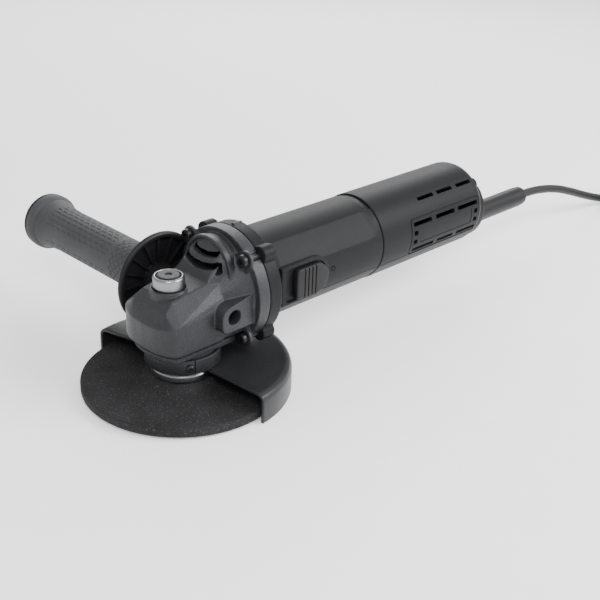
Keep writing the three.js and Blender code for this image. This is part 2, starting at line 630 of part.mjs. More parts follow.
function rearCover() {
  const outside = [
    [0, COVER.front], [COVER.r, COVER.front], [COVER.r, -252], [28.8, -257.5], [25.5, -260.9],
    [21, COVER.rear], [0, COVER.rear],
  ];
  const cap = turned([[0, -256], [CAP.r, -256], [CAP.r, CAP.rear + 1], [CAP.r - 1, CAP.rear], [0, CAP.rear]],
    'x', [0, 0, CAP.z], 32);
  const shaft = rod(RELIEF.r + GAP, CAP.rear - 1, -255, 'x', [0, 0, RELIEF.z], 16);
  const pocket = rod(RELIEF.collarR + GAP, -264.1, -200, 'x', [0, 0, RELIEF.z], 16);
  const pillars = [-17, 17].map((y) => rod(5, -259, -252, 'x', [0, y, AXIS_Z + 17], 12));
  const vents = [1, -1].flatMap((side) => [
    ...[[-209, -192], [-230, -213], [-251.5, -235]].map(([a, b]) => vent(side, 48, a, b, 2.8)),
    ...[[-199.5, -180], [-225, -204], [-251.5, -229]].map(([a, b]) => vent(side, 17, a, b, 3)),
    ...[[-204, -180.5], [-226, -208], [-251.5, -230]].map(([a, b]) => vent(side, -20, a, b, 2.8)),
    ...[-184, -251.5].flatMap((x) => [5, -7.5].map((angle) => vent(side, angle, x, x + 4, 3.4))),
  ]);
  const bolts = [-17, 17].flatMap((y) => [
    rod(2.2, -264, -250, 'x', [0, y, AXIS_Z + 17], 8),
    rod(4, -270, -257.4, 'x', [0, y, AXIS_Z + 17], 12),
  ]);
  const body = union(turned(outside, 'x', onMotorAxis, 32), cap);
  const hollow = turned([[0, -258.4], [24, -258.4], [COVER.bore, -254], [COVER.bore, -148], [0, -148]],
    'x', onMotorAxis, 32);
  return without(union(without(body, hollow), pillars), shaft, pocket, vents, bolts);
}

/** A vent through the cover's wall, at an angle above the tool's left (side 1) or right (side -1). */
function vent(side, angle, x0, x1, width) {
  const t = THREE.MathUtils.degToRad(side > 0 ? angle : 180 - angle);
  return spoke(t, 20, 34, width, x0, x1);
}

function cordEntry() {
  const at = [0, 0, RELIEF.z];
  const { r, collarR, bore, end } = RELIEF;
  const profile = [
    [bore, -258], [collarR, -258], [collarR, -263.4], [r, -263.8], [r, end + 8], [r - 0.5, end + 2.4],
    [r - 1.9, end + 0.6], [r - 3, end], [bore, end],
  ];
  add('strain_relief', ring(profile, 'x', at, 20), FINISH.blackPlastic);
  const bar = box(-251, -243, -8.6, 8.6, RELIEF.z + CORD_R + GAP, RELIEF.z + CORD_R + 4.2);
  add('cord_clamp', bar, FINISH.blackPlastic);
}

// ---------------------------------------------------------------- cord, coil and plug

/** The cord's route from inside the rear cover to the coil. */
const LEAD = [
  [-238, 0, 37.2], [-262, 0, 37.2], [-290, 0, 37.2], [-320, 0, 37.2], [-354, 0, 37.2], [-370, 0, 36.6],
  [-388, 0.3, 34.4], [-408, 0.9, 30], [-428, 1.7, 23.6], [-448, 2.8, 16.2], [-468, 4.2, 9.2], [-486, 5.4, 4],
  [-498, 6.2, 1.8],
];

/** The cord's route from the coil to the plug. */
const TAIL = [[-512, 115.3, 3.8], [-509, 115.3, 4.4], [-505.4, 115.3, 4.6]];

function cordPieces() {
  const curve = (points) => new THREE.CatmullRomCurve3(points.map((p) => new THREE.Vector3(...p)), false, 'centripetal');
  add('cord_lead', sweep(curve(LEAD), CORD_R, 26), FINISH.cord);
  add('cord_tail', sweep(curve(TAIL), CORD_R, 2), FINISH.cord);
  const low = FLOOR_Z + 0.1;
  const high = low + COIL.layers * 7 - 0.2;
  add('cord_coil', tube(COIL.inner, COIL.outer, low, high, 'z', [COIL.x, COIL.y, 0], 20), FINISH.cord);
}

/** A flat plug with two round pins. */
function plugPieces() {
  const { x, y, z } = PLUG;
  const across = (dx, halfY, halfZ) => arc(0, 0, 1, 0, 360, 16).slice(0, -1).map(([a, b]) => [
    x + dx, y + halfY * Math.sign(a) * Math.abs(a) ** 0.6, z + halfZ * Math.sign(b) * Math.abs(b) ** 0.6,
  ]);
  const body = hull([...across(0, 5.4, 5), ...across(14, 8, 6.4), ...across(26, 13, 7), ...across(38.4, 13.4, 7)]);
  add('plug_body', body, FINISH.blackPlastic);
  [-9.5, 9.5].forEach((side, i) => {
    const at = [0, y + side, z];
    const profile = [[0, x + 38.7], [2, x + 38.7], [2, x + 56.4], [1.2, x + 57.4], [0, x + 57.4]];
    add(`plug_pin_${i + 1}`, turned(profile, 'x', at, 8), FINISH.steel);
  });
}

// ---------------------------------------------------------------- the grinder

add('gear_housing', gearHousing(), FINISH.casting);
add('bearing_cover', bearingCover(), FINISH.casting);
coverScrewPlaces.forEach(([x, y], i) =>
  add(`cover_screw_${i + 1}`, screw(1.9, 42, 3, 27.9, 29.4, 'z', [x, y, 0]), FINISH.blackSteel));
screwPlaces().forEach(([y, z], i) =>
  add(`gear_screw_${i + 1}`, screw(1.9, -46, 4, -23.6, -27, 'x', [0, y, z]), FINISH.blackSteel));
lockPieces();
add('spindle', spindle(), FINISH.steel);
add('crown_gear', crownGear(), FINISH.steel);
add('spindle_bearing', bearing(6.3, 15.7, 21.1, 31.1, 'z', [0, 0, 0]), FINISH.steel);
add('spindle_bush', tube(4.3, 5.4, 54.4, 62.3, 'z', [0, 0, 0], 14), FINISH.brass);
wheelPieces();
guardPieces();
handlePieces();
add('motor_housing', motorHousing(), FINISH.plastic);
motorPieces();
switchPieces();
add('rear_cover', rearCover(), FINISH.plastic);
[-17, 17].forEach((y, i) =>
  add(`rear_cover_screw_${i + 1}`, screw(1.7, -140, 3.6, -260.4, -257.7, 'x', [0, y, AXIS_Z + 17]), FINISH.blackSteel));
cordEntry();
cordPieces();
plugPieces();

export default group;
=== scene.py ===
"""The looks of a small angle grinder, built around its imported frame.

The visible pieces are rebuilt here at full smoothness, and each one stands for its CAD node. Sizes
are in millimetres, and finish_mesh() scales every shape to metres.
"""

import json
import math

import bmesh
import bpy
from mathutils import Matrix, Vector


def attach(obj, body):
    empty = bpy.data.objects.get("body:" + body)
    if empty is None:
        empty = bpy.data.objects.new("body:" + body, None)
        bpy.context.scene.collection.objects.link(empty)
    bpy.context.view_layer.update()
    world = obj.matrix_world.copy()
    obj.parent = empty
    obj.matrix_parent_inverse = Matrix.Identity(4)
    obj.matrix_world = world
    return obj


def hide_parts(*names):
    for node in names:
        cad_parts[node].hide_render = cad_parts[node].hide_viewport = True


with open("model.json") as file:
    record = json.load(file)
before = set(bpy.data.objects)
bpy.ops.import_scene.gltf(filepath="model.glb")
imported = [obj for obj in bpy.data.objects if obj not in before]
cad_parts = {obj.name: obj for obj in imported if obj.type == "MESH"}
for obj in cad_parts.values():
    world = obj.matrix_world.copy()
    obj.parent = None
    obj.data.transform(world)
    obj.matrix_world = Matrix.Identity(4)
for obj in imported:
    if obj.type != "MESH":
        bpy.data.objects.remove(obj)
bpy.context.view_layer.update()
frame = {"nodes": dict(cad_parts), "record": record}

MM = 0.001
FLOOR_Z = -2.5
AXIS_Z = 56.2  # height of the motor axis above the spindle's end
MOTOR_AXIS = (0, 0, AXIS_Z)
LOCK_X = 9.4
SOCKET_X, SOCKET_Z, BOSS_FACE = -14, 51, 32
SCREW_OFFSET = 25.7  # of the four gear screws, from the motor axis in Y and in Z
RELIEF_Z, RELIEF_END = 37.2, -354
PLUG = (-505, 115.3, 4.6)
CORD_R = 3.4


# ------------------------------------------------------------------ camera

CAMERA_AT = (342.4, 435.7, 330.1)
CAMERA_FORWARD = Vector((-0.63885, -0.62863, -0.44349))
CAMERA_UP = Vector((-0.2899, -0.3373, 0.8957))
LENS_MM = 61.9


def make_camera():
    data = bpy.data.cameras.new("camera")
    data.lens = LENS_MM
    data.sensor_width = 36
    data.clip_start = 0.01
    data.clip_end = 50
    camera = bpy.data.objects.new("camera", data)
    bpy.context.collection.objects.link(camera)
    back = -CAMERA_FORWARD.normalized()
    right = CAMERA_UP.cross(back).normalized()
    up = back.cross(right)
    turn = Matrix((right, up, back)).transposed().to_4x4()
    camera.matrix_world = Matrix.Translation(Vector(CAMERA_AT) * MM) @ turn
    bpy.context.scene.camera = camera


make_camera()


# ------------------------------------------------------------------ materials

GLOSS_SPREAD = 0.08  # how far a surface's roughness strays from its mean

def surface(
    name, color, roughness, metallic=0.0, grain=1500, bump=0.15, mottle=0.1, flecks=0.0, specular=0.3
):
    """A moulded, cast or coated surface: fine grain, soft colour change and uneven gloss."""
    material = bpy.data.materials.new(name)
    material.use_nodes = True
    nodes, links = material.node_tree.nodes, material.node_tree.links
    shader = nodes["Principled BSDF"]
    shader.inputs["Metallic"].default_value = metallic
    shader.inputs["Specular IOR Level"].default_value = specular
    coords = nodes.new("ShaderNodeTexCoord")

    def noise(scale, detail=3.0):
        node = nodes.new("ShaderNodeTexNoise")
        node.inputs["Scale"].default_value = scale
        node.inputs["Detail"].default_value = detail
        links.new(coords.outputs["Object"], node.inputs["Vector"])
        return node.outputs["Fac"]

    fine = noise(grain)
    broad = noise(55, 4.0)
    tint = nodes.new("ShaderNodeValToRGB")
    tint.color_ramp.elements[0].position = 0.35
    tint.color_ramp.elements[1].position = 0.65
    tint.color_ramp.elements[0].color = (*[c * (1 - mottle) for c in color], 1)
    tint.color_ramp.elements[1].color = (*[min(1, c * (1 + mottle)) for c in color], 1)
    links.new(broad, tint.inputs["Fac"])
    out = tint.outputs["Color"]
    if flecks:
        spots = nodes.new("ShaderNodeValToRGB")
        spots.color_ramp.elements[0].position = 0.60
        spots.color_ramp.elements[1].position = 0.74
        spots.color_ramp.elements[0].color = (0, 0, 0, 1)
        spots.color_ramp.elements[1].color = (flecks, flecks, flecks, 1)
        links.new(noise(grain * 0.8, 2.0), spots.inputs["Fac"])
        add = nodes.new("ShaderNodeMixRGB")
        add.blend_type = "ADD"
        add.inputs["Fac"].default_value = 1
        links.new(out, add.inputs["Color1"])
        links.new(spots.outputs["Color"], add.inputs["Color2"])
        out = add.outputs["Color"]
    links.new(out, shader.inputs["Base Color"])
    gloss = nodes.new("ShaderNodeMapRange")
    gloss.inputs["To Min"].default_value = roughness - GLOSS_SPREAD
    gloss.inputs["To Max"].default_value = roughness + GLOSS_SPREAD
    links.new(noise(grain * 0.3), gloss.inputs["Value"])
    links.new(gloss.outputs["Result"], shader.inputs["Roughness"])
    relief = nodes.new("ShaderNodeBump")
    relief.inputs["Strength"].default_value = bump
    relief.inputs["Distance"].default_value = 0.0004
    links.new(fine, relief.inputs["Height"])
    links.new(relief.outputs["Normal"], shader.inputs["Normal"])
    return material


def turned_metal(name, color, roughness, axis="Z", bump=0.08):
    """Metal with the fine rings that a lathe or a wire wheel leaves."""
    material = surface(name, color, roughness, 1.0, grain=2500, bump=bump, mottle=0.05)
    nodes, links = material.node_tree.nodes, material.node_tree.links
    coords = nodes.new("ShaderNodeTexCoord")
    rings = nodes.new("ShaderNodeTexWave")
    rings.wave_type = "BANDS"
    rings.bands_direction = axis
    rings.inputs["Scale"].default_value = 700
    rings.inputs["Distortion"].default_value = 1.5
    links.new(coords.outputs["Object"], rings.inputs["Vector"])
    relief = next(n for n in nodes if n.type == "BUMP")
    total = nodes.new("ShaderNodeMath")
    total.operation = "ADD"
    links.new(relief.inputs["Height"].links[0].from_socket, total.inputs[0])
    links.new(rings.outputs["Fac"], total.inputs[1])
    links.new(total.outputs["Value"], relief.inputs["Height"])
    return material


CASTING = surface("cast_anthracite", (0.024, 0.025, 0.0275), 0.4, 0.25, grain=1700, bump=0.5, flecks=0.03)
PLASTIC = surface(
    "charcoal_plastic", (0.011, 0.0114, 0.0125), 0.44, grain=2600, bump=0.22, mottle=0.05, specular=0.09
)
BLACK_PLASTIC = surface("black_plastic", (0.009, 0.009, 0.01), 0.44, grain=2400, bump=0.12, specular=0.2)
INNER_PLASTIC = surface("inner_plastic", (0.01, 0.01, 0.011), 0.5, grain=2000, bump=0.1)
GRIP = surface("grip_rubber", (0.038, 0.039, 0.042), 0.62, grain=2200, bump=0.3, mottle=0.08)
RUBBER = surface("black_rubber", (0.008, 0.008, 0.008), 0.7, grain=1800, bump=0.2)
COAT = surface("guard_coat", (0.016, 0.0165, 0.018), 0.36, 0.1, grain=1400, bump=0.35, mottle=0.12)
GRIT = surface("bonded_grit", (0.011, 0.011, 0.012), 0.85, grain=1100, bump=0.9, flecks=0.05, mottle=0.3)
STEEL = turned_metal("bright_steel", (0.24, 0.244, 0.252), 0.32)
BLACK_STEEL = surface("black_steel", (0.02, 0.02, 0.022), 0.34, 0.6, grain=2600, bump=0.1)
LAMINATION = turned_metal("core_laminations", (0.25, 0.255, 0.26), 0.42, axis="X", bump=0.5)
COPPER = turned_metal("copper_winding", (0.56, 0.2, 0.09), 0.35, axis="X", bump=0.5)
BRASS = surface("brass", (0.62, 0.43, 0.16), 0.32, 1.0, grain=2600, bump=0.08)
CARBON = surface("carbon", (0.02, 0.02, 0.02), 0.6, grain=3000, bump=0.3)
CORD = surface("cord_rubber", (0.01, 0.01, 0.011), 0.5, grain=2600, bump=0.12)

SLOT_MATERIALS = {
    "casting": CASTING,
    "housing_plastic": PLASTIC,
    "black_plastic": BLACK_PLASTIC,
    "inner_plastic": INNER_PLASTIC,
    "grip_rubber": GRIP,
    "seal_rubber": RUBBER,
    "guard_coat": COAT,
    "abrasive": GRIT,
    "bright_steel": STEEL,
    "black_steel": BLACK_STEEL,
    "core_steel": LAMINATION,
    "winding": COPPER,
    "brass_part": BRASS,
    "carbon": CARBON,
    "cord_rubber": CORD,
}


def dress_frame():
    """Every CAD node takes its slot's material, so that the inner pieces have one too."""
    slots = {s["node"]: s["material_slot"] for s in frame["record"]["subparts"]}
    for node, obj in frame["nodes"].items():
        obj.data.materials.clear()
        obj.data.materials.append(SLOT_MATERIALS[slots[node]])


dress_frame()
BODY_OF = {node: body for body, nodes in frame["record"]["behaviour"]["bodies"].items() for node in nodes}
SLOT_OF = {s["node"]: s["material_slot"] for s in frame["record"]["subparts"]}


def stands_for(obj, node, *others):
    """The piece takes the place of a CAD node, with its body, its slot and its material."""
    if not obj.data.materials:
        obj.data.materials.append(SLOT_MATERIALS[SLOT_OF[node]])
    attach(obj, BODY_OF[node])
    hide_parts(node, *others)
    return obj


def detail(obj, body, slot):
    """An extra piece on a body, with a slot's material."""
    if not obj.data.materials:
        obj.data.materials.append(SLOT_MATERIALS[slot])
    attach(obj, body)
    return obj


# ------------------------------------------------------------------ shape makers

AIM = {
    "Z": Matrix.Identity(4),
    "X": Matrix(((0, 0, 1, 0), (1, 0, 0, 0), (0, 1, 0, 0), (0, 0, 0, 1))),
    "Y": Matrix(((0, 1, 0, 0), (0, 0, 1, 0), (1, 0, 0, 0), (0, 0, 0, 1))),
}


def finish_mesh(bm, name, matrix=None):
    """Turns a bmesh in millimetres into an object in metres."""
    bmesh.ops.remove_doubles(bm, verts=bm.verts, dist=1e-5)
    if matrix is not None:
        bmesh.ops.transform(bm, matrix=matrix, verts=bm.verts)
    bmesh.ops.scale(bm, vec=(MM, MM, MM), verts=bm.verts)
    bmesh.ops.recalc_face_normals(bm, faces=bm.faces)
    mesh = bpy.data.meshes.new(name)
    bm.to_mesh(mesh)
    bm.free()
    obj = bpy.data.objects.new(name, mesh)
    bpy.context.collection.objects.link(obj)
    return obj


def soften(points, radius, steps=4, closed=False):
    """A polyline with each corner replaced by a curve that starts and ends a radius away."""
    points = [Vector(p) for p in points]
    count = len(points)
    result = []
    for i, p in enumerate(points):
        if not closed and i in (0, count - 1):
            result.append(tuple(p))
            continue
        before, after = points[i - 1] - p, points[(i + 1) % count] - p
        reach = min(radius, before.length * 0.49, after.length * 0.49)
        a, b = p + before.normalized() * reach, p + after.normalized() * reach
        for k in range(steps + 1):
            t = k / steps
            result.append(tuple(a * (1 - t) ** 2 + p * 2 * t * (1 - t) + b * t * t))
    return result


def revolve(name, profile, axis="Z", at=(0, 0, 0), segments=128, closed=False, arc=None):
    """A profile of (radius, place along the axis) turned about an axis, whole or over arc degrees."""
    bm = bmesh.new()
    start, end = arc or (0, 360)
    columns = segments if arc is None else segments + 1
    angles = [math.radians(start + (end - start) * i / segments) for i in range(columns)]
    rows = []
    for r, s in profile:
        if r < 1e-6:
            rows.append([bm.verts.new((0, 0, s))] * columns)
        else:
            rows.append([bm.verts.new((r * math.cos(t), r * math.sin(t), s)) for t in angles])
    links = list(zip(rows, rows[1:]))
    if closed:
        links.append((rows[-1], rows[0]))
    for a, b in links:
        for i in range(segments):
            j = (i + 1) % columns
            corners = list(dict.fromkeys((a[i], a[j], b[j], b[i])))
            if len(corners) > 2:
                bm.faces.new(corners)
    if arc:
        bm.faces.new([row[0] for row in rows])
        bm.faces.new([row[-1] for row in rows])
    return finish_mesh(bm, name, Matrix.Translation(at) @ AIM[axis])


def loft(name, sections, closed=False):
    """Rings of points joined in turn; a ring of one point is a pole."""
    bm = bmesh.new()
    rows = [[bm.verts.new(p) for p in section] for section in sections]
    count = max(len(row) for row in rows)
    links = list(zip(rows, rows[1:]))
    if closed:
        links.append((rows[-1], rows[0]))
    for a, b in links:
        for i in range(count):
            j = (i + 1) % count
            corners = list(dict.fromkeys((a[i % len(a)], a[j % len(a)], b[j % len(b)], b[i % len(b)])))
            if len(corners) > 2:
                bm.faces.new(corners)
    return finish_mesh(bm, name)


def prism(name, outline, low, high, axis="Z"):
    """A flat outline pushed along an axis. The outline is (x, y), (y, z) along X, or (z, x) along Y."""
    bm = bmesh.new()
    ends = [[bm.verts.new((a, b, s)) for a, b in outline] for s in (low, high)]
    for end in ends:
        bm.faces.new(end)
    for i in range(len(outline)):
        j = (i + 1) % len(outline)
        bm.faces.new((ends[0][i], ends[0][j], ends[1][j], ends[1][i]))
    return finish_mesh(bm, name, AIM[axis])


def hull(name, points):
    bm = bmesh.new()
    for p in points:
        bm.verts.new(p)
    made = bmesh.ops.convex_hull(bm, input=bm.verts)
    loose = {v for v in made["geom_interior"] + made["geom_unused"] if isinstance(v, bmesh.types.BMVert)}
    bmesh.ops.delete(bm, geom=list(loose), context="VERTS")
    return finish_mesh(bm, name)


def rod(r, low, high, axis="Z", at=(0, 0, 0), segments=64):
    return revolve("rod", [(0, low), (r, low), (r, high), (0, high)], axis, at, segments)


def block(x0, x1, y0, y1, z0, z1):
    return prism("block", [(x0, y0), (x1, y0), (x1, y1), (x0, y1)], z0, z1)


def ring_points(r, steps, centre=(0, 0), start=0, end=360):
    """Points of an arc; a whole turn leaves out its last point."""
    count = steps if end - start == 360 else steps + 1
    angles = [math.radians(start + (end - start) * i / steps) for i in range(count)]
    return [(centre[0] + r * math.cos(t), centre[1] + r * math.sin(t)) for t in angles]


def bake(obj):
    """Applies the object's modifiers to its mesh."""
    graph = bpy.context.evaluated_depsgraph_get()
    mesh = bpy.data.meshes.new_from_object(obj.evaluated_get(graph))
    obj.modifiers.clear()
    obj.data = mesh
    return obj


def combine(base, others, operation):
    """An exact boolean of the base with each of the others, which are used up."""
    for other in others:
        step = base.modifiers.new("boolean", "BOOLEAN")
        step.operation = operation
        step.solver = "EXACT"
        step.object = other
    bake(base)
    for other in others:
        bpy.data.objects.remove(other)
    return base


def smooth(obj, angle=35):
    """Smooth shading, but for edges sharper than the angle."""
    for face in obj.data.polygons:
        face.use_smooth = True
    obj.data.set_sharp_from_angle(angle=math.radians(angle))
    return obj


def bevel(obj, width, segments=3, angle=30):
    edge = obj.modifiers.new("bevel", "BEVEL")
    edge.width = width * MM
    edge.segments = segments
    edge.limit_method = "ANGLE"
    edge.angle_limit = math.radians(angle)
    edge.use_clamp_overlap = True
    bake(obj)
    return smooth(obj, 50)


def moulded(obj, voxel, passes, keep=1.0):
    """Runs a shape's parts into each other and rounds its edges, as a mould or a die does."""
    remesh = obj.modifiers.new("remesh", "REMESH")
    remesh.mode = "VOXEL"
    remesh.voxel_size = voxel * MM * 1
    soft = obj.modifiers.new("smooth", "SMOOTH")
    soft.factor = 0.5
    soft.iterations = passes
    if keep < 1:
        fewer = obj.modifiers.new("decimate", "DECIMATE")
        fewer.ratio = keep
    bake(obj)
    return smooth(obj, 70)


def moved(obj, matrix):
    """Moves the mesh itself; the matrix is in metres."""
    obj.data.transform(matrix)
    return obj


def named(obj, name):
    obj.name = name
    obj.data.name = name
    return obj


def lathe(node, profile, axis="Z", at=(0, 0, 0), radius=0.5, segments=128):
    """A turned piece with softened edges, which stands for a CAD node."""
    closed = profile[0][0] > 0
    skin = revolve(node, soften(profile, radius, 3, closed), axis, at, segments, closed)
    return stands_for(named(smooth(skin, 40), f"turned_{node}"), node)


# ------------------------------------------------------------------ cord

# the route from the strain relief to the coil, then the coil, then the plug
LEAD = [
    (-330, 0, 37.2), (-342, 0, 37.2), (-354, 0, 37.2), (-370, 0, 36.6), (-388, 0.3, 34.4), (-408, 0.9, 30),
    (-428, 1.7, 23.6), (-448, 2.8, 16.2), (-468, 4.2, 9.2), (-486, 5.4, 4), (-498, 6.2, 1.8),
    (-511, 6.7, 1.05),
]
TAIL = [(-512, 115.3, 3.8), (-509, 115.3, 4.4), (-505.4, 115.3, 4.6)]
COIL_CENTRE = (-525, 58.3)
COIL_TURNS = 8.5
TURN_PITCH = 7.0
OUTER_TURN = 51.3


def coil_points(steps_per_turn=24):
    """Four turns inwards on the floor, four outwards on top of them, and half a turn back down."""
    points = []
    low, high = FLOOR_Z + CORD_R + 0.1, FLOOR_Z + CORD_R + 7.1
    for i in range(round(COIL_TURNS * steps_per_turn) + 1):
        turn = i / steps_per_turn
        inner = OUTER_TURN - 3 * TURN_PITCH
        r = OUTER_TURN - turn * 0.75 * TURN_PITCH if turn < 4 else inner + (turn - 4) * 0.75 * TURN_PITCH
        rise = min(1, max(0, (turn - 3.85) / 0.3))
        z = low + (high - low) * rise * rise * (3 - 2 * rise)
        if turn > 8:
            fall = (turn - 8) / 0.5
            r = OUTER_TURN + 5.7 * fall
            z = high - (high - low) * fall * fall * (3 - 2 * fall)
        t = math.radians(-90 - 360 * turn)
        points.append((COIL_CENTRE[0] + r * math.cos(t), COIL_CENTRE[1] + r * math.sin(t), z))
    return points


def make_plug():
    """The moulded plug with a waist for the fingers, and its two round pins."""
    x, y, z = PLUG

    def ring(dx, half_y, half_z):
        def side(v, half):
            return half * math.copysign(abs(v) ** 0.6, v)

        return [(x + dx, y + side(a, half_y), z + side(b, half_z)) for a, b in ring_points(1, 48)]

    rings = [(0, 4.4, 4.2), (0.8, 5.4, 5), (14, 8, 6.4), (24, 12.2, 6.9), (37.4, 13.4, 7), (38.4, 12.6, 6.2)]
    sections = [ring(*r) for r in rings]
    body = loft("plug_body", [[(x, y, z)], *sections, [(x + 38.4, y, z)]])
    pieces = [stands_for(named(smooth(body, 40), "moulded_plug"), "plug_body")]
    for i, side in enumerate((-9.5, 9.5)):
        profile = [(0, x + 38.7), (2, x + 38.7), (2, x + 56.2), (0.8, x + 57.4), (0, x + 57.4)]
        pieces.append(lathe(f"plug_pin_{i + 1}", profile, "X", (0, y + side, z), 0.3, 32))
    return pieces


def make_cord():
    curve = bpy.data.curves.new("supply_cord", "CURVE")
    curve.dimensions = "3D"
    curve.bevel_depth = CORD_R * MM
    curve.bevel_resolution = 6
    curve.resolution_u = 6
    curve.use_fill_caps = True
    points = LEAD + coil_points() + TAIL
    spline = curve.splines.new("BEZIER")
    spline.bezier_points.add(len(points) - 1)
    for knot, p in zip(spline.bezier_points, points):
        knot.co = Vector(p) * MM
        knot.handle_left_type = "AUTO"
        knot.handle_right_type = "AUTO"
    cord = bpy.data.objects.new("supply_cord", curve)
    bpy.context.collection.objects.link(cord)
    stands_for(cord, "cord_lead", "cord_coil", "cord_tail")
    make_plug()


make_cord()


# ------------------------------------------------------------------ floor and light


FLOOR_HALF = 4000
FLOOR_GAP = 0.05  # keeps the floor's face off the wheel and the guard


def make_floor():
    corners = [(-FLOOR_HALF, -FLOOR_HALF), (FLOOR_HALF, -FLOOR_HALF)]
    corners += [(FLOOR_HALF, FLOOR_HALF), (-FLOOR_HALF, FLOOR_HALF)]
    floor = prism("floor", corners, FLOOR_Z - 10, FLOOR_Z - FLOOR_GAP)
    pale = surface("pale_floor", (0.94, 0.94, 0.94), 0.7, grain=300, bump=0.02, mottle=0.01)
    glow = pale.node_tree.nodes["Principled BSDF"].inputs
    glow["Emission Color"].default_value = (1, 1, 1, 1)
    glow["Emission Strength"].default_value = 0.3
    floor.data.materials.append(pale)


def area_light(name, place, aim_at, size, power):
    data = bpy.data.lights.new(name, "AREA")
    data.shape = "RECTANGLE"
    data.size, data.size_y = size
    data.energy = power
    lamp = bpy.data.objects.new(name, data)
    bpy.context.collection.objects.link(lamp)
    lamp.location = place
    lamp.rotation_mode = "QUATERNION"
    lamp.rotation_quaternion = (Vector(aim_at) - Vector(place)).to_track_quat("-Z", "Y")


def make_light():
    world = bpy.data.worlds.new("studio")
    world.use_nodes = True
    world.node_tree.nodes["Background"].inputs["Color"].default_value = (1, 1, 1, 1)
    world.node_tree.nodes["Background"].inputs["Strength"].default_value = 1.05
    bpy.context.scene.world = world
    area_light("key", (-0.75, 0.82, 0.75), (-0.05, 0, 0.05), (0.9, 0.5), 22)
    area_light("front", (0.5, 0.7, 0.95), (0, 0, 0.04), (0.5, 0.5), 9)
    area_light("rim", (-0.95, -0.9, 0.7), (-0.1, 0, 0.05), (1.2, 0.5), 12)


make_floor()
make_light()


# ------------------------------------------------------------------ gear head


def screw_places():
    s = SCREW_OFFSET
    return [(y, AXIS_Z + z) for z in (s, -s) for y in (s, -s)]


def head_plan(inset, rear):
    """The head's outline from above, with a blunt nose and rounded front corners."""
    half = soften([(30.0, 0.1), (29.4, 11), (27.6, 17.5), (24, 24.5), (rear, 24.5)], 6.5, 6)
    side = [(x - inset, max(y - inset, 0.05)) for x, y in half]
    return side + [(x, -y) for x, y in reversed(side)]


def head_shell():
    """Upright wall with a crisp ridge, chamfer bands, two slanting side facets and a sloping top."""

    def ridge(x):
        return 50 + (30 - x) * 0.38 if x > 20 else 53.8 + (20 - x) * 0.02

    wall = [(x, y, 34) for x, y in head_plan(0, -26)]
    lip = [(x, y, 31.8) for x, y in head_plan(1.6, -26)]
    top = [(x, y, ridge(x)) for x, y in head_plan(0, -26)]
    upper = []
    for s in (-1, 1):
        upper += [(24, s * 15, 59.2), (-26, s * 21.5, 63.2), (18, s * 13.5, 64.4), (-26, s * 15.5, 72.7)]
    return hull("head", lip + wall + top + upper)


def head_neck():
    front = [(-13, s * y, z) for s in (-1, 1) for y, z in ((24.2, 34), (24.2, 54.2), (21, 62.4), (15, 69.6))]
    rear = [(-30, y, z) for y, z in ring_points(33, 96, (0, AXIS_Z))]
    neck = hull("neck", front + rear)
    return combine(neck, [block(-31, 0, -40, 40, 31.8, 100)], "INTERSECT")


def arch(half, low, steps=48):
    """The hood's outline, (y, z): upright sides under a half circle."""
    return [(half, low), *ring_points(half, steps, (0, 69.5), 0, 180), (-half, low)]


def hood():
    body = prism("hood", arch(20.6, 56), -34, -21, "X")
    crown = [(-21.2, y, z) for y, z in arch(19, 66)]
    foot = [(-7, s * 15, z) for s in (-1, 1) for z in (68.6, 60)]
    bead = prism("bead", arch(21.6, 58) + arch(19.4, 58)[::-1], -23.6, -19.6, "X")
    return [body, hull("hood_front", crown + foot), bead]


def round_flange(low, high, lug_low):
    """The round flange with a web and a round lug at each of its four screws."""
    parts = [rod(37, low, high, "X", MOTOR_AXIS, 160)]
    for y, z in screw_places():
        outer = [(x, a, b) for x in (lug_low, high) for a, b in ring_points(5.6, 40, (y, z))]
        inward = (y * 0.72, AXIS_Z + (z - AXIS_Z) * 0.72)
        inner = [(x, a, b) for x in (lug_low, high) for a, b in ring_points(7.5, 40, inward)]
        parts.append(hull("lug", outer + inner))
    return parts


def socket_boss(side):
    outline = soften([(44.5, -5), (54.5, -5), (57.8, -8), (62.5, -30), (42, -30), (42, -7)], 2.2, 5, True)
    low, high = sorted((side * 15, side * BOSS_FACE))
    return prism("boss", outline, low, high, "Y")


def curved_slot(z, half, high):
    low = [(y, z + y * y * 0.012) for y in [half * (i / 8 - 1) for i in range(17)]]
    outline = soften(low + [(y, h + high) for y, h in reversed(low)], 1.2, 3, True)
    return prism("slot", outline, -26, -4, "X")


def air_way():
    side = [(72.6, -40), (72.6, -12.8), (87.2, -25), (87.2, -40)]
    duct = prism("duct", side, -17.2, 17.2, "Y")
    return combine(duct, [prism("limit", arch(17.4, 60), -41, -5, "X")], "INTERSECT")


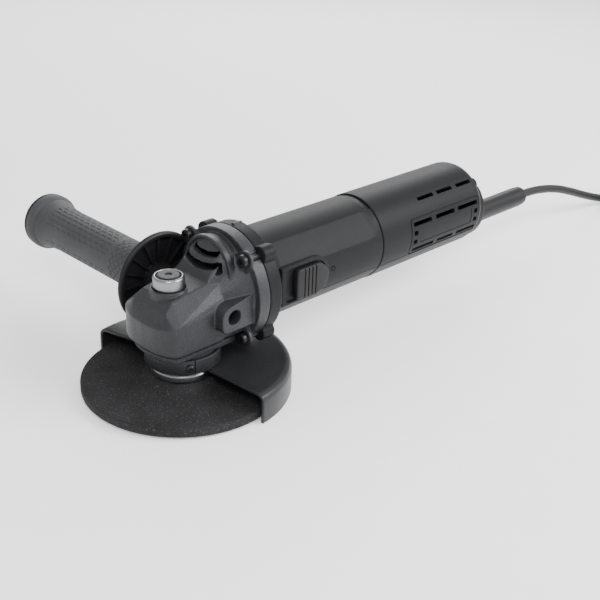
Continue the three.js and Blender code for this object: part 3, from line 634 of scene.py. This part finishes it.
def gear_housing():
    """The die casting: everything forward of the flange's joint."""
    solids = [
        head_neck(),
        *hood(),
        *round_flange(-38, -29.5, -27.3),
        socket_boss(1),
        socket_boss(-1),
        rod(11.6, 58, 67.4, "Z", (LOCK_X, 0, 0), 96),
        rod(2.2, -33, -26, "X", (-14, 0, 92), 32),
    ]
    cuts = [
        revolve("chamber", [(0, 30), (21.5, 30), (21.5, 53.5), (12, 58.2), (0, 58.2)], "Z"),
        rod(9, -28, -8, "X", MOTOR_AXIS),
        rod(13.3, -41, -27.7, "X", MOTOR_AXIS),
        air_way(),
        curved_slot(73.4, 14, 3.6),
        curved_slot(80, 11, 3),
        rod(4.7, BOSS_FACE - 13.5, BOSS_FACE + 2, "Y", (SOCKET_X, 0, SOCKET_Z)),
        rod(4.7, -BOSS_FACE - 2, -BOSS_FACE + 13.5, "Y", (SOCKET_X, 0, SOCKET_Z)),
        rod(7.7, 62.8, 80, "Z", (LOCK_X, 0, 0)),
        rod(9.8, 65.2, 80, "Z", (LOCK_X, 0, 0), 96),
        rod(2.5, 55, 66, "Z", (LOCK_X, 0, 0)),
    ]
    for y, z in screw_places():
        cuts += [rod(2.2, -40, -20, "X", (0, y, z), 32), rod(4.7, -27.3, -12, "X", (0, y, z), 48)]
    body = combine(head_shell(), solids, "UNION")
    combine(body, cuts, "DIFFERENCE")
    named(moulded(body, 0.45, 4, 0.5), "gear_casting")
    stands_for(body, "gear_housing")


def screw(node, shank_r, shank_end, head_r, top, seat, axis, at):
    """A pan-head screw with a six-sided socket; it points from its top towards its shank's end."""
    profile = [(0, top), (head_r, top), (head_r, seat), (shank_r, seat), (shank_r, shank_end), (0, shank_end)]
    body = revolve(node, soften(profile, 0.7, 4), axis, at, 48)
    into = math.copysign(1.4, shank_end - top)
    centre = at[1:] if axis == "X" else at[:2]
    socket = prism("socket", ring_points(head_r * 0.5, 6, centre), *sorted((top - into, top + into)), axis)
    combine(body, [socket], "DIFFERENCE")
    return stands_for(named(smooth(body, 40), f"drive_{node}"), node)


COVER_SCREWS = [(17.7, 17.7), (17.7, -17.7), (-17.7, 17.7), (-17.7, -17.7)]
REAR_SCREWS = [(-17, 73.2), (17, 73.2)]


def all_screws():
    for i, (y, z) in enumerate(screw_places()):
        screw(f"gear_screw_{i + 1}", 1.9, -46, 4, -23.6, -27, "X", (0, y, z))
    for i, (x, y) in enumerate(COVER_SCREWS):
        screw(f"cover_screw_{i + 1}", 1.9, 42, 3, 27.9, 29.4, "Z", (x, y, 0))
    for i, (y, z) in enumerate(REAR_SCREWS):
        screw(f"rear_cover_screw_{i + 1}", 1.7, -140, 3.6, -260.4, -257.7, "X", (0, y, z))


def bearing_cover():
    plate = bevel(prism("plate", head_plan(3, -26), 27.6, 31.5), 0.6)
    neck = soften([(0, 17.1), (21.3, 17.1), (21.3, 29), (0, 29)], 0.6)
    combine(plate, [revolve("neck", neck)], "UNION")
    cuts = [revolve("seat", [(0, 16), (10, 16), (10, 20.8), (16, 20.8), (16, 33), (0, 33)])]
    for x, y in COVER_SCREWS:
        cuts += [rod(2.2, 26, 33, "Z", (x, y, 0), 32), rod(3.3, 27, 29.7, "Z", (x, y, 0), 48)]
    combine(plate, cuts, "DIFFERENCE")
    stands_for(named(smooth(plate), "bearing_plate"), "bearing_cover")


def lock_button():
    at = (LOCK_X, 0, 0)
    cap = [(0, 74.4), (1.5, 74.4), (2.1, 75.1), (6.5, 75.1), (7.4, 74.2), (7.4, 69.5), (0, 69.5)]
    lathe("lock_button", cap, "Z", at, 0.5)
    collar = [(7.7, 65.5), (9.5, 65.5), (9.5, 73.7), (8.6, 74.7), (7.7, 74.7)]
    lathe("lock_collar", collar, "Z", at, 0.6)


gear_housing()
bearing_cover()
all_screws()
lock_button()


# ------------------------------------------------------------------ wheel and guard

WHEEL_R = 62.5
GUARD_R, GUARD_TOP, GUARD_ARC = 67, 16.4, (95, 283.8)
CLAMP_ANGLE, CLAMP_Z = 62, 21.4


def wheel_pieces():
    wheel = [
        (11.1, 2.5), (21, 2.5), (27, -1.3), (WHEEL_R, -1.3), (WHEEL_R, 4.7), (25.6, 4.7), (19.6, 8.5),
        (11.1, 8.5),
    ]
    lathe("grinding_wheel", wheel, radius=1.2, segments=192)
    inner = [
        (7.3, 6), (10.8, 6), (10.8, 8.8), (19.2, 8.8), (20, 9.6), (20, 13.2), (17.6, 16.1), (7.3, 16.1),
    ]
    lathe("inner_flange", inner, radius=0.4)
    nut = [(7.3, 0.2), (18.2, 0.2), (19, 0.9), (19, 2.2), (10.8, 2.2), (10.8, 5.6), (7.3, 5.6)]
    body = revolve("nut", soften(nut, 0.3, 3, True), closed=True)
    holes = [rod(2.4, -1, 1.5, "Z", (x, y, 0), 32) for x, y in ring_points(14.8, 4, start=45, end=405)]
    combine(body, holes, "DIFFERENCE")
    stands_for(named(smooth(body), "pin_nut"), "clamp_nut")
    thread = [(7 - 0.5 * (i % 2), 1 + i * 0.75) for i in range(21)]
    shaft = [
        (0, 0), (6, 0), *thread, (9, 16.4), (9, 20.4), (6, 20.4), (6, 31.4), (7.5, 31.4), (7.5, 37.7),
        (5.5, 37.7), (5.5, 49.6), (4, 49.6), (4, 61), (3.4, 61.6), (0, 61.6),
    ]
    lathe("spindle", shaft, radius=0.2, segments=96)


def guard_pieces():
    r, top = GUARD_R, GUARD_TOP
    sheet = [
        (21.7, top), (r - 4, top), (r - 1.3, top - 1.3), (r, top - 4), (r, FLOOR_Z), (r - 2, FLOOR_Z),
        (r - 2, top - 4), (r - 2.9, top - 2.7), (r - 4.4, top - 2), (21.7, top - 2),
    ]
    shell = revolve("shell", soften(sheet, 0.9, 3, True), segments=150, closed=True, arc=GUARD_ARC)
    stands_for(named(bevel(shell, 0.35, 2, 60), "wheel_guard"), "guard_shell")
    strap = soften([(21.7, 16.7), (23.5, 16.7), (23.5, 26.1), (21.7, 26.1)], 0.5, 3, True)
    band = revolve("band", strap, segments=150, closed=True, arc=(70.5, 429))
    aim = Matrix.Translation((0, 0, CLAMP_Z * MM)) @ Matrix.Rotation(math.radians(CLAMP_ANGLE), 4, "Z")
    combine(band, [moved(rod(1.8, 19, 27, "X"), aim)], "DIFFERENCE")
    stands_for(named(smooth(band), "clamp_band"), "guard_band")
    profile = [(0, 21.7), (1.5, 21.7), (1.5, 23.8), (2.4, 23.8), (2.4, 24.6), (1.8, 25.2), (0, 25.2)]
    bolt = revolve("bolt", soften(profile, 0.3), "X", segments=48)
    combine(bolt, [prism("socket", ring_points(1.2, 6), 24.2, 26, "X")], "DIFFERENCE")
    stands_for(named(smooth(moved(bolt, aim)), "clamp_bolt"), "guard_clamp_screw")


wheel_pieces()
guard_pieces()


# ------------------------------------------------------------------ side handle

HANDLE_FACE = -BOSS_FACE - 0.3
GRIP_R = 15.1  # at its waist
GRIP_PROFILE = [  # (place, radius)
    (-44.1, 16.4), (-46, 16.9), (-50, 15.6), (-60, GRIP_R), (-140, GRIP_R), (-150, 15.8), (-158, 17.8),
    (-161.5, 19.6), (-165.3, 19.4),
]
RIBS = 16


def handle_core():
    profile = [
        (4.5, HANDLE_FACE), (10.2, HANDLE_FACE), (11, -41.2), (26.6, -41.2), (27.2, -39), (29.3, -38.4),
        (31, -39.4), (31, -41.4), (28.5, -42.8), (17, -43.6), (11, -43.8), (11, -165.6), (18.8, -165.6),
        (19.4, -167.6), (17.6, -170), (0, -170.4), (0, -62), (4.5, -62),
    ]
    at = (SOCKET_X, 0, SOCKET_Z)
    core = revolve("core", soften(profile, 0.6, 3, True), "Y", at, 160, True)
    ribs = []
    for i in range(RIBS):
        spin = Matrix.Rotation(2 * math.pi * i / RIBS, 4, "Y")
        rib = block(9.8, 27.4, -42, -39.3, -0.7, 0.7)
        ribs.append(moved(rib, Matrix.Translation(Vector(at) * MM) @ spin))
    combine(core, ribs, "UNION")
    stands_for(named(smooth(core), "handle_body"), "handle_core")


def along(points, place):
    """The height at a place of a line through (place, height) points, whose places fall."""
    for (a, high), (b, low) in zip(points, points[1:]):
        if b <= place <= a:
            return high + (low - high) * (a - place) / (a - b)
    return points[-1][1]


TREAD_DEPTH = 0.4
DIAMOND, DASH_ROW, DASH_STEP = 5.27, 3.16, 6.5  # the pitches of the net and of the dashes


def tread(y, angle):
    """Depth of the grip's pattern: a net of diamonds by the flange, and rows of dashes along the grip."""
    arc = math.radians(angle) * GRIP_R
    if -158.4 < y < -157.4:
        return 0.5
    if -74 < y < -53:
        cross = [abs((arc + s * y) / DIAMOND % 1 - 0.5) for s in (1, -1)]
        return TREAD_DEPTH if max(cross) > 0.4 else 0
    plain = angle > 345 or angle < 22 or 165 < angle < 202
    if plain or not -148 < y < -79:
        return 0
    row = math.floor(arc / DASH_ROW)
    across = abs(arc / DASH_ROW % 1 - 0.5)
    ahead = abs((y / DASH_STEP + 0.5 * (row % 2)) % 1 - 0.5)
    return TREAD_DEPTH if across < 0.2 and ahead < 0.33 else 0


def handle_grip():
    """The soft grip, with its pattern pressed into the surface."""
    steps = 240
    line = soften(GRIP_PROFILE, 2.5, 4)
    places = [-44.1, -44.15] + [-44.6 - 0.5 * i for i in range(241)] + [-165.3]
    sections = [[(SOCKET_X + x, -44.1, SOCKET_Z + z) for x, z in ring_points(11.3, steps)]]
    for y in places:
        base = along(line, y)
        points = []
        for i in range(steps):
            t = 2 * math.pi * i / steps
            r = base - tread(y, 360 * i / steps)
            points.append((SOCKET_X + r * math.cos(t), y, SOCKET_Z + r * math.sin(t)))
        sections.append(points)
    sections.append([(SOCKET_X + x, -165.3, SOCKET_Z + z) for x, z in ring_points(11.3, steps)])
    grip = loft("grip", sections, True)
    stands_for(named(smooth(grip, 60), "soft_grip"), "handle_grip")


handle_core()
handle_grip()


# ------------------------------------------------------------------ motor housing and rear cover

BARREL_R, BARREL_BORE, SEAM_X = 29.6, 27.2, -148
COVER_R, COVER_BORE, COVER_END = 30, 27.6, -262
CAP_R, CAP_Z, CAP_END = 25.2, 51.5, -268
KNOB_FRONT, KNOB_REAR, KNOB_HALF = -64, -82, 10  # the rear is the centre of the knob's round end
MARK_AT = (-99.7, 0, AXIS_Z + 0.5)  # the small round mark behind the knob
SPLIT_LIFT = -27  # of the moulding's split line, in degrees above the motor axis
UPPER_FLAT, LOWER_FLAT = (20, 58), (-53, SPLIT_LIFT)  # the soft flats, from one lift to another
PANEL = (43, 69.4, -254, -177)  # lowest and highest Z, then rear and front X
FIELD = (50.4, 62.4, -245, -186.5)
VENT_ROWS = [  # lift, width, and the stretches along X
    (48, 2.8, [(-209, -192), (-230, -213), (-251.5, -235)]),
    (17, 3.0, [(-199.5, -180), (-225, -204), (-251.5, -229)]),
    (-20, 2.8, [(-204, -180.5), (-226, -208), (-251.5, -230)]),
    (5, 3.4, [(-184, -180), (-251.5, -247.5)]),
    (-7.5, 3.4, [(-184, -180), (-251.5, -247.5)]),
]


def lift_of(angle):
    """Degrees above the level of the motor axis, the same on both sides."""
    return angle if angle <= 90 else 180 - angle if angle <= 270 else angle - 360


def facet(lift, low, high, share):
    """How much of the radius a soft flat between two lifts takes away."""
    middle, half = (low + high) / 2, (high - low) / 2
    if abs(lift - middle) >= half:
        return 0
    return share * (1 - math.cos(math.radians(half)) / math.cos(math.radians(lift - middle)))


def ease(value):
    value = min(1, max(0, value))
    return value * value * (3 - 2 * value)


def fillet(distance, r):
    """How far a rounded edge of radius r has fallen at a distance from the end."""
    return r - math.sqrt(r * r - (r - distance) ** 2) if 0 <= distance < r else 0


def split_line(lift):
    return 0.4 if abs(lift - SPLIT_LIFT) < 0.6 else 0


def barrel_radius(x, angle):
    lift = lift_of(angle)
    r = BARREL_R + 2.9 * ease((x + 54) / 6.5)
    fade = ease((x + 146) / 9) * ease((-52 - x) / 6)
    r -= BARREL_R * facet(lift, *UPPER_FLAT, 0.75) * fade
    r -= BARREL_R * facet(lift, *LOWER_FLAT, 0.6) * ease((-52 - x) / 6)
    if lift > UPPER_FLAT[1]:
        r -= 0.7 * ease((-142.5 - x) / 5)
    return r - split_line(lift) * ease((-52 - x) / 4) - fillet(x - SEAM_X, 0.6)


def cover_radius(x, angle):
    lift = lift_of(angle)
    r = COVER_R
    if x < -252:
        r = 21 + 9 * math.sqrt(max(0, 1 - ((-252 - x) / 10) ** 2))
    r -= COVER_R * facet(lift, *LOWER_FLAT, 0.6) * ease((x + 256) / 6)
    return r - split_line(lift) * ease((x + 256) / 4) - fillet(SEAM_X - 0.3 - x, 0.6)


def rings_along(radius_at, places, steps=360):
    """Rings about the motor axis, whose radius depends on the place and the angle."""
    rings = []
    for x in places:
        points = []
        for i in range(steps):
            r = radius_at(x, 360 * i / steps)
            t = 2 * math.pi * i / steps
            points.append((x, r * math.cos(t), AXIS_Z + r * math.sin(t)))
        rings.append(points)
    return rings


def spread(*stretches):
    """Places from stretches of (start, end, count), each without its end, and the last end."""
    places = [a + (b - a) * i / n for a, b, n in stretches for i in range(n)]
    return places + [stretches[-1][1]]


def arch_outline(centre, r, front, corner=0):
    """An outline in z and x for a prism along Y: round behind and square in front."""
    turns = [math.pi * i / 32 for i in range(33)]
    rear = [(AXIS_Z + r * math.cos(t), centre - r * math.sin(t)) for t in turns]
    points = [(AXIS_Z - r, front), (AXIS_Z + r, front)]
    return (soften([rear[-1], *points, rear[0]], corner, 5)[1:-1] if corner else points) + rear


def motor_housing():
    flange, *lugs = round_flange(-47.5, -38.3, -47.5)
    flange = moulded(combine(flange, lugs, "UNION"), 0.5, 3, 0.4)
    places = spread((-47.5, -54, 13), (-54, -60, 6), (-60, -136, 19), (-136, SEAM_X, 30))
    bore = rings_along(lambda x, angle: BARREL_BORE, [SEAM_X, -47.5])
    shell = loft("barrel", rings_along(barrel_radius, places) + bore, True)
    pad = bevel(prism("pad", arch_outline(-83, 13, -54), 24, 29.9, "Y"), 0.9, 3, 50)
    combine(shell, [flange, pad], "UNION")
    mark = [(1.2, 28.9), (1.8, 28.9), (1.8, 31), (1.2, 31)]
    cuts = [
        rod(BARREL_BORE, -60, -36, "X", MOTOR_AXIS, 360),
        prism("recess", arch_outline(KNOB_REAR, 11.2, -57.6, 2.5), 28.6, 34, "Y"),
        block(-86.5, -67.5, 20, 34, AXIS_Z - 2.3, AXIS_Z + 2.3),
        revolve("mark", mark, "Y", MARK_AT, 32, True),
    ]
    combine(shell, cuts, "DIFFERENCE")
    stands_for(named(smooth(shell, 30), "motor_shell"), "motor_housing")
    tube = [(13.8, -160.4), (16.6, -160.4), (16.6, -137), (13.8, -137)]
    bracket = revolve("bracket", tube, "X", MOTOR_AXIS, 96, True)
    arms = []
    for i in range(4):
        spin = Matrix.Translation((0, 0, AXIS_Z * MM)) @ Matrix.Rotation(math.pi * (i / 2 + 0.25), 4, "X")
        arms.append(moved(block(-147.7, -137, 15.5, 28, -1.3, 1.3), spin))
    combine(bracket, arms, "UNION")
    combine(bracket, [block(-146, -137, -24, 24, AXIS_Z - 3.8, AXIS_Z + 3.8)], "DIFFERENCE")
    detail(named(smooth(bracket), "brush_bracket"), "housing", "housing_plastic")


def radial_cut(outline, angle, low=20, high=34):
    """A prism pushed out from the motor axis at an angle; its outline is along X and across."""
    spin = Matrix.Rotation(math.radians(angle - 90), 4, "X")
    return moved(prism("cut", outline, low, high), Matrix.Translation((0, 0, AXIS_Z * MM)) @ spin)


def slot_outline(x0, x1, width, corner=1.0):
    half = width / 2
    return soften([(x0, -half), (x1, -half), (x1, half), (x0, half)], corner, 4, True)


def cover_vents():
    """The vent slots, the same on both sides."""
    cuts = []
    for right in (False, True):
        for lift, width, slots in VENT_ROWS:
            angle = 180 - lift if right else lift
            cuts += [radial_cut(slot_outline(x0, x1, width), angle) for x0, x1 in slots]
    return cuts


def side_panel(place, inset, corner, steps, low, high):
    """A rounded rectangle seen from the side, pushed along Y."""
    z0, z1, x0, x1 = place
    z0, z1, x0, x1 = z0 + inset, z1 - inset, x0 + inset, x1 - inset
    outline = soften([(z0, x0), (z0, x1), (z1, x1), (z1, x0)], corner, steps, True)
    return prism("panel", outline, low, high, "Y")


def panel_lines():
    """The thin groove around each side's panel, and the shallow plain field in its middle."""
    cuts = []
    for side in (1, -1):
        line = side_panel(PANEL, 0, 3, 5, 20, 40)
        combine(line, [side_panel(PANEL, 0.7, 2.6, 5, 19, 41)], "DIFFERENCE")
        for cutter, floor in ((line, 29.55), (side_panel(FIELD, 0, 1.2, 4, 20, 40), 29.75)):
            layer = [(floor, -260), (31, -260), (31, -170), (floor, -170)]
            combine(cutter, [revolve("layer", layer, "X", MOTOR_AXIS, 360, True)], "INTERSECT")
            if side < 0:
                moved(cutter, Matrix.Scale(-1, 4, (0, 1, 0)))
                cutter.data.flip_normals()
            cuts.append(cutter)
    return cuts


def rear_cover():
    outer = spread((SEAM_X - 0.3, -151, 9), (-151, -252, 26), (-252, COVER_END, 24))
    inner = [(24, -258.4), (COVER_BORE, -254), (COVER_BORE, SEAM_X - 0.3)]
    rings = rings_along(cover_radius, outer)
    for r, x in inner:
        rings += rings_along(lambda place, angle, r=r: r, [x])
    poles = [[(COVER_END, 0, AXIS_Z)], [(-258.4, 0, AXIS_Z)]]
    at_end = len(outer)
    shell = loft("cover", rings[:at_end] + poles + rings[at_end:], True)
    cap = soften([(0, -256), (CAP_R, -256), (CAP_R, CAP_END), (0, CAP_END)], 1.6, 5)
    solids = [revolve("cap", cap, "X", (0, 0, CAP_Z), 160)]
    solids += [rod(5, -259, -252, "X", (0, y, z), 48) for y, z in REAR_SCREWS]
    combine(shell, solids, "UNION")
    cuts = [rod(8.2, -270, -255, "X", (0, 0, RELIEF_Z)), rod(9.7, -264.1, -200, "X", (0, 0, RELIEF_Z))]
    for y, z in REAR_SCREWS:
        cuts += [rod(2.2, -264, -250, "X", (0, y, z), 32), rod(4, -270, -257.4, "X", (0, y, z), 48)]
    combine(shell, cuts + cover_vents() + panel_lines(), "DIFFERENCE")
    stands_for(named(smooth(shell, 30), "rear_shell"), "rear_cover")


def strain_relief():
    end = RELIEF_END
    sleeve = [
        (3.7, -258), (9.4, -258), (9.4, -263.4), (7.9, -263.8), (7.9, end + 8), (7.4, end + 2.4),
        (6, end + 0.6), (4.9, end), (3.7, end),
    ]
    lathe("strain_relief", sleeve, "X", (0, 0, RELIEF_Z), 0.6, 96)


def switch_knob():
    """The slide's thumb pad, round behind, with four fine grooves and the stem behind it."""
    pad = bevel(prism("pad", arch_outline(KNOB_REAR, KNOB_HALF, KNOB_FRONT, 3), 28.9, 33.4, "Y"), 1.1, 4, 50)
    grooves = [block(x, x + 0.9, 32.7, 35, 40, 70) for x in (-80.6, -77.4, -74.2, -71)]
    combine(pad, grooves, "DIFFERENCE")
    combine(pad, [block(-83.5, -74.5, 27, 29.4, AXIS_Z - 1.8, AXIS_Z + 1.8)], "UNION")
    stands_for(named(smooth(pad), "slide_knob"), "switch_knob")


motor_housing()
rear_cover()
strain_relief()
switch_knob()

bpy.context.view_layer.update()
